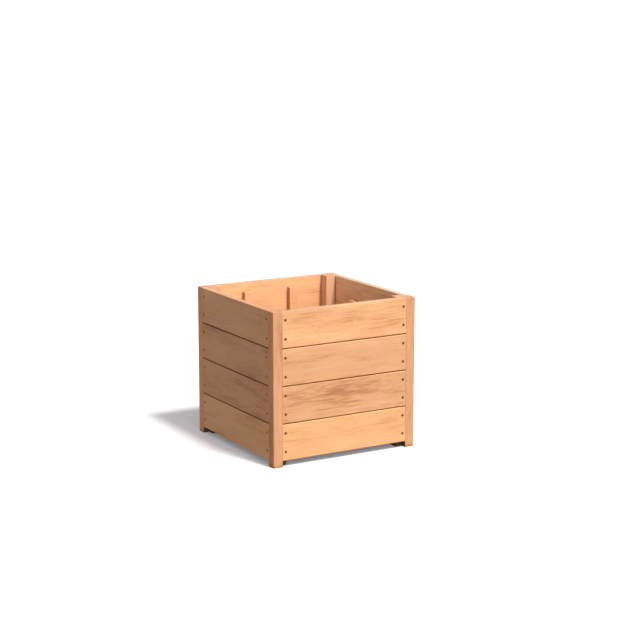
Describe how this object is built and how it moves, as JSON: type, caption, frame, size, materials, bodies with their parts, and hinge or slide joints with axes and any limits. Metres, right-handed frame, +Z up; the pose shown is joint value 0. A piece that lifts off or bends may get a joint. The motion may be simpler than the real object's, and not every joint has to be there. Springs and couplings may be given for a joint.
{
  "type": "planter box",
  "caption": "Square hardwood planter box of horizontal boards screwed to rebated corner posts, open at the top, with a slatted floor.",
  "frame": {"origin": "centre of the square footprint, at the ground", "axes": "+Z up, front of the box towards -Y, +X to the right as the front is faced"},
  "size_m": [0.65, 0.65, 0.62],
  "materials": {
    "board_wood": "oiled hardwood, fine straight grain, satin",
    "post_wood": "oiled hardwood, pinkish, vertical grain, satin",
    "batten_wood": "planed hardwood, satin",
    "floor_wood": "sawn hardwood, matt",
    "screw_steel": "dulled stainless steel, star drive"
  },
  "bodies": {
    "root": {"floor_slat_1": "floor_wood", "floor_slat_2": "floor_wood", "floor_slat_3": "floor_wood", "floor_slat_4": "floor_wood", "floor_slat_5": "floor_wood", "front_batten_1": "batten_wood", "front_batten_2": "batten_wood", "front_bearer": "floor_wood", "front_board_1": "board_wood", "front_board_2": "board_wood", "front_board_3": "board_wood", "front_board_4": "board_wood", "front_left_post": "post_wood", "front_right_post": "post_wood", "left_batten_1": "batten_wood", "left_batten_2": "batten_wood", "left_bearer": "floor_wood", "left_board_1": "board_wood", "left_board_2": "board_wood", "left_board_3": "board_wood", "left_board_4": "board_wood", "rear_batten_1": "batten_wood", "rear_batten_2": "batten_wood", "rear_bearer": "floor_wood", "rear_board_1": "board_wood", "rear_board_2": "board_wood", "rear_board_3": "board_wood", "rear_board_4": "board_wood", "rear_left_post": "post_wood", "rear_right_post": "post_wood", "right_batten_1": "batten_wood", "right_batten_2": "batten_wood", "right_bearer": "floor_wood", "right_board_1": "board_wood", "right_board_2": "board_wood", "right_board_3": "board_wood", "right_board_4": "board_wood"}
  },
  "joints": []
}
